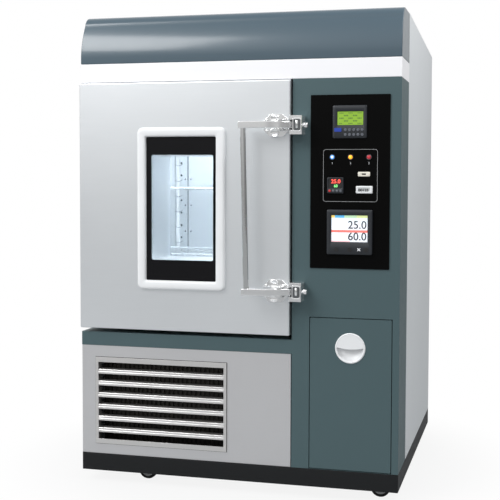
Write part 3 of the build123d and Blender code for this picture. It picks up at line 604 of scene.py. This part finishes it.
# %% Recorder
low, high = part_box("recorder_case")
sx0, sx1, sz0, sz1 = at(-218.5, 0, 0).x, at(-102.6, 0, 0).x, 0.8338, 0.9179
case("recorder_body", "recorder_case", (sx0, sx1, sz0, sz1), 0.004, case_plastic, 0.005)
b = Board("recorder_screen")
x, _, z = b.xyz()
u, v = (x - sx0) / (sx1 - sx0), (z - sz0) / (sz1 - sz0)
base = b.mix(v.ramp(0.62, 0.95), (0.82, 0.86, 0.93), (0.72, 0.88, 0.95))
base = b.mix((v > 0.905), base, (0.45, 0.66, 0.42))
base = b.mix((v > 0.905) * (u < 0.36), base, (0.07, 0.40, 0.72))
base = b.mix((v > 0.905) * (u < 0.095), base, (0.86, 0.62, 0.14))
base = b.mix((v > 0.905) * (u > 0.70), base, (0.62, 0.70, 0.30))
base = b.mix((abs(v - 0.40) < 0.045), base, (0.80, 0.17, 0.14))
base = b.mix((v < 0.045) * (u < 0.52), base, (0.88, 0.55, 0.58))
pixels = b.noise(1200, 1)
tone = b.mix(pixels * 0.12, base, (0.5, 0.5, 0.5))
b.set(Base_Color=tone, Emission_Color=tone, Roughness=0.22 + pixels * 0.1)
b.set(Emission_Strength=0.45)
bm = bmesh.new()
plate(bm, sx0, sx1, sz0, sz1, low.y + 0.004, low.y + 0.003)
finish_piece("recorder_display", bm, b.mat, replaces=["recorder_screen"])
for name, words, up in (("recorder_upper_figures", "25.0", 0.0530),
                        ("recorder_lower_figures", "60.0", 0.0165)):
    numerals(name, words, sx1 - 0.003, sz0 + up, low.y + 0.0022, 0.0350, ink_dark, align="RIGHT",
             weight=0.0001)
bm = bmesh.new()
for kx in (-201.5, -159.6, -106.8):
    kx = at(kx, 0, 0).x
    plate(bm, kx - 0.0065, kx + 0.0065, 0.8030, 0.8165, low.y, low.y - 0.0012, 0.003)
finish_piece("recorder_keys_dark", bm, key_plastic, replaces=["recorder_keys"], edge=0.0004)
bm = bmesh.new()
kx = at(-129.2, 0, 0).x
for s in (1, -1):
    bar = box_into(bm, (kx - 0.0062, low.y - 0.0012, 0.8088), (kx + 0.0062, low.y, 0.8112))
    lean = Matrix.Rotation(s * math.radians(42), 3, "Y")
    bmesh.ops.rotate(bm, cent=(kx, low.y, 0.81), matrix=lean, verts=bar)
# The close mark's white ink glows: painted light.
finish_piece("recorder_close_key", bm, ink_white_painted_glow)

# %% [markdown]
# ### The programme controller
# A dark square case with a green liquid-crystal window, a wide blue key and two rows of small round keys.
# The window carries faint rows of dark marks that stand for its readings.

# %% Controller
low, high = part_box("controller_case")
sx0, sx1, sz0, sz1 = at(-202.0, 0, 0).x, at(-119.7, 0, 0).x, 1.2023, 1.2446
case("controller_body", "controller_case", (sx0, sx1, sz0, sz1), 0.0030, case_plastic, 0.005)
b = Board("controller_lcd")
x, _, z = b.xyz()
u, v = (x - sx0) / (sx1 - sx0), (z - sz0) / (sz1 - sz0)
row = (abs((v * 5).part() - 0.5) < 0.24)
seed = (u * 17).whole() * 7.3 + (v * 5).whole() * 3.1
cell = seed.math("SINE", seed) > 0.1
stroke = ((u * 17).part() > 0.25)
margin = (abs(u - 0.5) < 0.43) * (abs(v - 0.5) < 0.42)
marks = row * cell * stroke * margin
glow = b.mix(b.noise(30, 2), (0.13, 0.24, 0.020), (0.18, 0.31, 0.030))
tone = b.mix(marks * 0.75, glow, (0.02, 0.05, 0.02))
b.set(Base_Color=tone, Emission_Color=tone, Roughness=0.2 + marks * 0.1)
b.set(Emission_Strength=0.8)
bm = bmesh.new()
plate(bm, sx0, sx1, sz0, sz1, low.y + 0.0032, low.y + 0.0026)
finish_piece("controller_display", bm, b.mat, replaces=["controller_screen"])
bm = bmesh.new()
plate(bm, at(-211.4, 0, 0).x, at(-188.2, 0, 0).x, 1.1810, 1.1932, low.y, low.y - 0.0018, 0.003)
finish_piece("controller_main_key", bm, blue_key, replaces=["controller_keys"], edge=0.0005)
bm = bmesh.new()
for n in range(5):
    for level in (1.1872, 1.1722):
        c = at(-176 + n * 13.4, 0, 0)
        turned_into(bm, [(0, 0.0046), (-0.0012, 0.0046), (-0.0020, 0.0036), (-0.0018, 0.0)],
                    (c.x, low.y, level), steps=24)
finish_piece("controller_round_keys", bm, grey_key)

# %% [markdown]
# ### Lamps, port and small meters
# Three lit lenses in dark bezels, a cream port cover with its slot, a two-row regulator and a counter.
# The places of the printed words are left bare or carry a plain number.

# %% Lamps
lamps = (("lamp_blue", (0.03, 0.26, 0.85), 1.15), ("lamp_amber", (1.0, 0.40, 0.015), 1.0),
         ("lamp_red", (0.30, 0.012, 0.02), 0.75))
for n, (node, colour, strength) in enumerate(lamps):
    low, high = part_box(node)
    mid = (low + high) / 2
    bm = bmesh.new()
    turned_into(bm, [(0, 0.0092), (-0.0026, 0.0092), (-0.0032, 0.0086), (-0.0030, 0.0070), (-0.0010, 0.0068)],
                (mid.x, PANEL, mid.z), steps=40)
    finish_piece(node + "_ring", bm, case_plastic, replaces=[node])
    b = Board(node + "_lens")
    x, y, z = b.xyz()
    dx, dz = x - mid.x, z - mid.z
    r = (dx * dx + dz * dz).root()
    core = 1 - r.ramp(0.0015, 0.0068)
    tone = b.mix(core * core, shade(colour, 0.7), (0.75, 0.92, 1.0) if n == 0 else shade(colour, 1.3))
    b.set(Base_Color=tone, Emission_Color=tone, Roughness=0.15 + b.noise(300, 1) * 0.1)
    b.set(Emission_Strength=strength, Coat_Weight=0.6)
    bm = bmesh.new()
    turned_into(bm, [(-0.0008, 0.0069), (-0.0030, 0.0066), (-0.0044, 0.0050), (-0.0049, 0.0026),
                     (-0.0050, 0.0)],
                (mid.x, PANEL, mid.z), steps=40)
    finish_piece(node + "_lens", bm, b.mat)
    # The lamp numbers' white ink glows: painted light.
    numerals(node + "_number", str(n + 1), mid.x, mid.z - 0.0195, PANEL - 0.0002, 0.0085, ink_white_painted_glow)

# %% Port, regulator and hour counter
low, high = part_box("data_port")
case("port_cover", "data_port", (at(-123.5, 0, 0).x, at(-109.5, 0, 0).x, 1.0452, 1.0502), 0.0020,
     cream_plastic, 0.003, 0.0006)
bm = bmesh.new()
plate(bm, at(-122.9, 0, 0).x, at(-110.1, 0, 0).x, 1.0458, 1.0496, low.y + 0.0020, low.y + 0.0014, 0.0005)
finish_piece("port_slot", bm, dark_inset_and_gap_shade)

low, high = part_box("temperature_regulator")
wx0, wx1, wz0, wz1 = low.x + 0.0045, high.x - 0.0045, low.z + 0.0165, high.z - 0.0045
case("regulator_body", "temperature_regulator", (wx0, wx1, wz0, wz1), 0.0025, case_plastic, 0.003, 0.0008)
bm = bmesh.new()
plate(bm, wx0, wx1, wz0, wz1, low.y + 0.0025, low.y + 0.0018)
finish_piece("regulator_window", bm, dark_inset_and_gap_shade)
mid = (wx0 + wx1) / 2 + 0.002
numerals("regulator_red_figures", "25.0", mid, wz1 - 0.0090, low.y + 0.0008, 0.0175, red_glow, weight=0.0004)
numerals("regulator_green_figures", "60", mid, wz0 + 0.0070, low.y + 0.0008, 0.0120, green_glow,
         weight=0.0003)
for n, finish in enumerate((red_key, grey_key, grey_key, grey_key)):
    bm = bmesh.new()
    cx = low.x + 0.009 + n * 0.0117
    turned_into(bm, [(0, 0.0040), (-0.0010, 0.0040), (-0.0016, 0.0030), (-0.0015, 0.0)],
                (cx, low.y, low.z + 0.0085), steps=24)
    finish_piece("regulator_key_" + str(n + 1), bm, finish)

low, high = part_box("hour_meter")
wx0, wx1, wz0, wz1 = low.x + 0.0075, high.x - 0.0075, low.z + 0.0060, high.z - 0.0062
case("counter_body", "hour_meter", (wx0, wx1, wz0, wz1), 0.0022, white_moulding, 0.003, 0.0008)
bm = bmesh.new()
plate(bm, wx0, wx1, wz0, wz1, low.y + 0.0022, low.y + 0.0016)
finish_piece("counter_window", bm, light_window)
numerals("counter_figures", "00125", (wx0 + wx1) / 2 - 0.002, wz0 + 0.0045, low.y + 0.0008, 0.0105,
         ink_dark, stretch=1.25, weight=0.0003)

# %% [markdown]
# ## The service door's pull
# A white dish with a rolled rim, and a half lid over its upper part that the fingers hook behind. The dish
# is turned from a half-section; the lid is an outline whose lower edge sags like a smile.

# %% Pull cup
low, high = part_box("pull_cup")
cx, cz, r = (low.x + high.x) / 2, (low.z + high.z) / 2, (high.x - low.x) / 2
bm = bmesh.new()
dish = [(0.0140, 0.0), (0.0138, r * 0.35), (0.0120, r * 0.58), (0.0070, r * 0.78), (0.0005, r * 0.865),
        (-0.0022, r * 0.88), (-0.0030, r * 0.91), (-0.0030, r * 0.95), (-0.0020, r * 0.985), (0.0, r),
        (0.0005, r * 0.90), (0.0075, r * 0.82), (0.0150, r * 0.60), (0.0160, 0.0)]
turned_into(bm, dish, (cx, FRONT, cz), steps=72)
finish_piece("pull_dish", bm, white_moulding, "service_panel", ["pull_cup"], angle=55)
bm = bmesh.new()
rim = r * 0.885
edge_pts = []
for k in range(41):
    a = math.radians(2 + 176 * k / 40)
    edge_pts.append((rim * math.cos(a), rim * math.sin(a)))
tip = math.radians(2)
sag = [(-rim * math.cos(tip) * (1 - 2 * k / 20), -0.0052 * math.sin(math.pi * k / 20) + rim * math.sin(tip))
       for k in range(1, 20)]
outline_into(bm, [(cx + x, FRONT - 0.0026, cz + z) for x, z in edge_pts + sag], (0, 0.0022, 0))
finish_piece("pull_lid", bm, white_moulding, "service_panel", edge=0.0008, segments=3)

# %% [markdown]
# ## Inside the test space
# A folded strip with a row of round holes stands at the left of the back sheet, and sprung wire clips bow
# over it at an even pitch. To its right a joint with paired screws runs up the sheet.

# %% Strip, clips and joint
sheet_low, sheet_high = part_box("air_baffle")
sx = sheet_low.x + 0.014
bm = bmesh.new()
box_into(bm, (sx - 0.010, sheet_low.y - 0.0030, sheet_low.z + 0.003),
         (sx + 0.004, sheet_low.y + 0.001, sheet_high.z - 0.003))
finish_piece("back_strip", bm, white_moulding, edge=0.0008)
bm = bmesh.new()
# The holes are small dark domes: painted shade for their depth.
for n in range(int((sheet_high.z - sheet_low.z - 0.03) / 0.050)):
    z = sheet_low.z + 0.030 + n * 0.050
    turned_into(bm, [(0, 0.0042), (-0.0008, 0.0036), (-0.0008, 0.0)], (sx + 0.0105, sheet_low.y, z), steps=20)
for n in range(int((sheet_high.z - sheet_low.z - 0.05) / 0.062)):
    z = sheet_low.z + 0.050 + n * 0.062
    bow = [Vector((sx - 0.013 + 0.030 * k / 6, sheet_low.y - 0.005,
                   z - 0.006 * math.sin(math.pi * k / 6) + 0.004 * k / 6)) for k in range(7)]
    for a, c in zip(bow, bow[1:]):
        rod_into(bm, a, c, 0.0009, sides=10)
finish_piece("strip_holes_and_clips", bm, shadow_chrome)
bm = bmesh.new()
jx = sheet_low.x + 0.052
box_into(bm, (jx - 0.0014, sheet_low.y - 0.0004, sheet_low.z + 0.004),
         (jx + 0.0014, sheet_high.y, sheet_high.z - 0.004))
for n in range(5):
    for x in (-0.012, 0.012):
        turned_into(bm, [(0, 0.0032), (-0.0012, 0.0028), (-0.0016, 0.0)],
                    (jx + x, FRONT + 0.700, sheet_low.z + 0.05 + n * 0.105), steps=16)
finish_piece("back_joint_and_screws", bm, shadow_chrome)

# %% [markdown]
# ## The latch handle
# Two cast arms turn on pins and carry a round bar between them. Each arm is an outline seen from above,
# pushed up through its height: long and square at the bar, stepped at the pin and ending in a short tongue
# that reaches the strike. Rounded edges make it look cast.

# %% Handle
PIVOT = at(-378, -56, 0)
levels = (0.6725, 1.2020)
HALF = 0.011
for level, end, name in ((levels[0], -496, "lower"), (levels[1], -508, "upper")):
    arm = [(end, -84), (-425, -84), (-405, -78), (-393, -71), (-382, -69.5), (-370, -65.5), (-360, -57),
           (-344, -47), (-341, -40), (-345, -34.5), (-358, -39), (-370, -43), (-386, -44), (-400, -52),
           (-418, -63), (-430, -64.5), (end, -64.5)]
    bm = bmesh.new()
    outline_into(bm, [at(x, y, 0) + Vector((0, 0, level - HALF)) for x, y in arm], (0, 0, 2 * HALF))
    finish_piece("handle_arm_" + name, bm, chrome_cast, "handle", ["door_handle"], edge=0.0030, segments=4)
bm = bmesh.new()
bar_foot, bar_head = at(-481, -74, 680), at(-493, -74, 1194)
rod_into(bm, bar_foot, bar_head, 0.0094, sides=40)
finish_piece("handle_bar", bm, chrome_bar, "handle")
print("handle bar", round((bar_head - bar_foot).length, 3), "m long")

# %% [markdown]
# ### Latch bases
# Each base is an eight-sided casting screwed to the door. Two dished bosses stand above and below the arm,
# and two ears hold the pin. The outline is one polygon pushed out, and the bosses and screws are turned.

# %% Latch bases
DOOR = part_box("door_shell")[0].y
for level, name in ((levels[0], "lower"), (levels[1], "upper")):
    c = Vector((at(-397, 0, 0).x, DOOR, level))
    bm = bmesh.new()
    oct_pts = [(42, 15), (21, 36), (-21, 36), (-42, 15), (-42, -15), (-21, -36), (21, -36), (42, -15)]
    outline_into(bm, [c + Vector((x / 1000, -0.0002, z / 1000)) for x, z in oct_pts], (0, -0.0074, 0))
    for s in (1, -1):
        turned_into(bm, [(-0.007, 0.0155), (-0.0098, 0.0150), (-0.0108, 0.0138), (-0.0106, 0.0118),
                         (-0.0088, 0.0090), (-0.0082, 0.0)], c + Vector((-0.006, 0, s * 0.0225)), steps=36)
        ear = [(PIVOT.x - 0.013, DOOR - 0.0072), (PIVOT.x - 0.013, PIVOT.y),
               (PIVOT.x - 0.0092, PIVOT.y - 0.0092),
               (PIVOT.x, PIVOT.y - 0.013), (PIVOT.x + 0.0092, PIVOT.y - 0.0092), (PIVOT.x + 0.013, PIVOT.y),
               (PIVOT.x + 0.013, DOOR - 0.0072)]
        outline_into(bm, [(x, y, level + s * (HALF + 0.0005)) for x, y in ear], (0, 0, s * 0.0055))
    finish_piece("latch_base_" + name, bm, chrome_cast, "main_door", ["latch_bases"], edge=0.0018, segments=3)
    bm = bmesh.new()
    pin = [(-0.0195, 0.0), (-0.0193, 0.0030), (-0.0170, 0.0049), (0.0170, 0.0049), (0.0193, 0.0030),
           (0.0195, 0.0)]
    turned_into(bm, pin, (PIVOT.x, PIVOT.y, level), axis=(0, 0, 1), steps=32)
    for x in (-31, 25):
        for z in (-17, 17):
            spot = c + Vector((x / 1000, -0.0070, z / 1000))
            screw = [(0, 0.0048), (-0.0016, 0.0046), (-0.0030, 0.0030), (-0.0033, 0.0012), (-0.0022, 0.0)]
            turned_into(bm, screw, spot, steps=28)
    finish_piece("latch_pin_and_screws_" + name, bm, chrome_bar, "main_door")

# %% [markdown]
# ### Strikes
# The front of each strike has a raised lip round a window that shows the roller. Lip and window are rings
# of rounded rectangles one inside the other.

# %% Strike windows
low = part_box("strike_housings")[0]
for level, name in ((levels[0], "lower"), (levels[1], "upper")):
    cx = low.x + 0.0245
    bm = bmesh.new()
    walls(bm, [rounded_rect(cx, level, w, h, rr, low.y + y, 5) for w, h, rr, y in (
        (0.030, 0.044, 0.007, 0.0002), (0.029, 0.043, 0.007, -0.0016), (0.026, 0.040, 0.006, -0.0020),
        (0.023, 0.036, 0.005, -0.0014), (0.022, 0.035, 0.005, 0.0002))])
    finish_piece("strike_lip_" + name, bm, chrome_cast)
    bm = bmesh.new()
    plate(bm, cx - 0.0112, cx + 0.0112, level - 0.0178, level + 0.0178, low.y + 0.0001, low.y - 0.0003, 0.005)
    finish_piece("strike_shade_" + name, bm, shadow_chrome)
    bm = bmesh.new()
    roller = [(-0.0125, 0.0), (-0.0125, 0.0045), (-0.0105, 0.0060), (0.0105, 0.0060), (0.0125, 0.0045),
              (0.0125, 0.0)]
    turned_into(bm, roller, (cx - 0.001, low.y + 0.0042, level + 0.002), axis=(0, 0, 1),
                steps=32)
    finish_piece("strike_roller_" + name, bm, chrome_bar)

# %% [markdown]
# ## Camera, light and floor
# The camera is a fit to the picture: its place, its turn, and a focal length in pixels of a 500 pixel frame
# whose middle lies off the lens axis. Two softboxes light the front, and a small one the test space.

# %% Camera and light
FRAME_PX, FOCAL_PX, LENS_X_PX, LENS_Y_PX = 500, 984.077, 290.0, 230.33
C = Vector((RIGHT + 0.38508, FRONT - 3.07101, 0.038 + 0.97799))
yaw, pitch, roll = 0.2367, -0.0471, 0.0049
forward = Vector((-math.sin(yaw) * math.cos(pitch), math.cos(yaw) * math.cos(pitch), math.sin(pitch)))
side0 = Vector((math.cos(yaw), math.sin(yaw), 0))
up0 = side0.cross(forward)
side = side0 * math.cos(roll) + up0 * math.sin(roll)
up = up0 * math.cos(roll) - side0 * math.sin(roll)
cam = bpy.data.objects.new("camera", bpy.data.cameras.new("camera"))
bpy.context.scene.collection.objects.link(cam)
cam.matrix_world = Matrix.Translation(C) @ Matrix((side, up, -forward)).transposed().to_4x4()
cam.data.lens = FOCAL_PX / FRAME_PX * 36
cam.data.shift_x = -(LENS_X_PX - FRAME_PX / 2) / FRAME_PX
cam.data.shift_y = -(FRAME_PX / 2 - LENS_Y_PX) / FRAME_PX
bpy.context.scene.camera = cam


def softbox(name, place, target, size, power):
    light = bpy.data.lights.new(name, "AREA")
    light.shape, light.size, light.size_y, light.energy = "RECTANGLE", size[0], size[1], power
    obj = bpy.data.objects.new(name, light)
    bpy.context.scene.collection.objects.link(obj)
    aim = (Vector(target) - Vector(place)).to_track_quat("-Z", "Y").to_matrix().to_4x4()
    obj.matrix_world = Matrix.Translation(place) @ aim
    return light


softbox("key_softbox", (-2.2, -2.7, 3.5), (0.1, -0.3, 1.45), (2.4, 1.4), 116)
softbox("side_softbox", (1.7, -0.7, 2.9), (0.55, 0.0, 1.5), (1.0, 1.0), 30)
chamber = softbox("chamber_light", at(-717, 300, 1262), at(-717, 330, 700), (0.36, 0.10), 4.9)
chamber.color = (0.88, 0.95, 1.0)


class Sky(Board):
    """The same node helpers on the world's tree."""
    def __init__(self, world):
        world.use_nodes = True
        self.tree = world.node_tree
        self.shader = self.tree.nodes["Background"]
        self.place = self.tree.nodes.new("ShaderNodeTexCoord").outputs["Generated"]


world = bpy.data.worlds.new("studio")
bpy.context.scene.world = world
sky = Sky(world)
x, y, z = sky.xyz()
soft = (0.10 + z.ramp(-0.20, 0.36) * 0.92 - z.ramp(0.55, 0.95) * 0.45) * (1 - x.ramp(0.0, 0.95) * 0.50)
ray = sky.node("ShaderNodeLightPath", {}, {}, "Is Camera Ray")
sky.set(Strength=soft + ray * (1 - soft), Color=(1, 1, 1))

# %% Floor
bm = bmesh.new()
bmesh.ops.create_grid(bm, x_segments=1, y_segments=1, size=30)
mesh = bpy.data.meshes.new("floor")
bm.to_mesh(mesh)
bm.free()
floor = bpy.data.objects.new("floor", mesh)
bpy.context.scene.collection.objects.link(floor)
b = Board("studio_floor")
x, y, z = b.xyz()
reach = (x * x + y * y).root().ramp(0.55, 1.05)
b.set(Base_Color=(0.45, 0.46, 0.47), Roughness=0.9)
glow = b.node("ShaderNodeEmission", {}, {"Color": (1, 1, 1), "Strength": 1.0})
see = b.node("ShaderNodeLightPath", {}, {}, "Is Camera Ray")
share = see * (0.88 + reach * 0.12)
pick = b.node("ShaderNodeMixShader", {}, {0: share, 1: Val(b, b.shader.outputs[0]), 2: glow})
b.tree.links.new(pick.out, b.tree.nodes["Material Output"].inputs["Surface"])
mesh.materials.append(b.mat)

# %% Colour view
bpy.context.scene.view_settings.view_transform = "Standard"
bpy.context.view_layer.update()
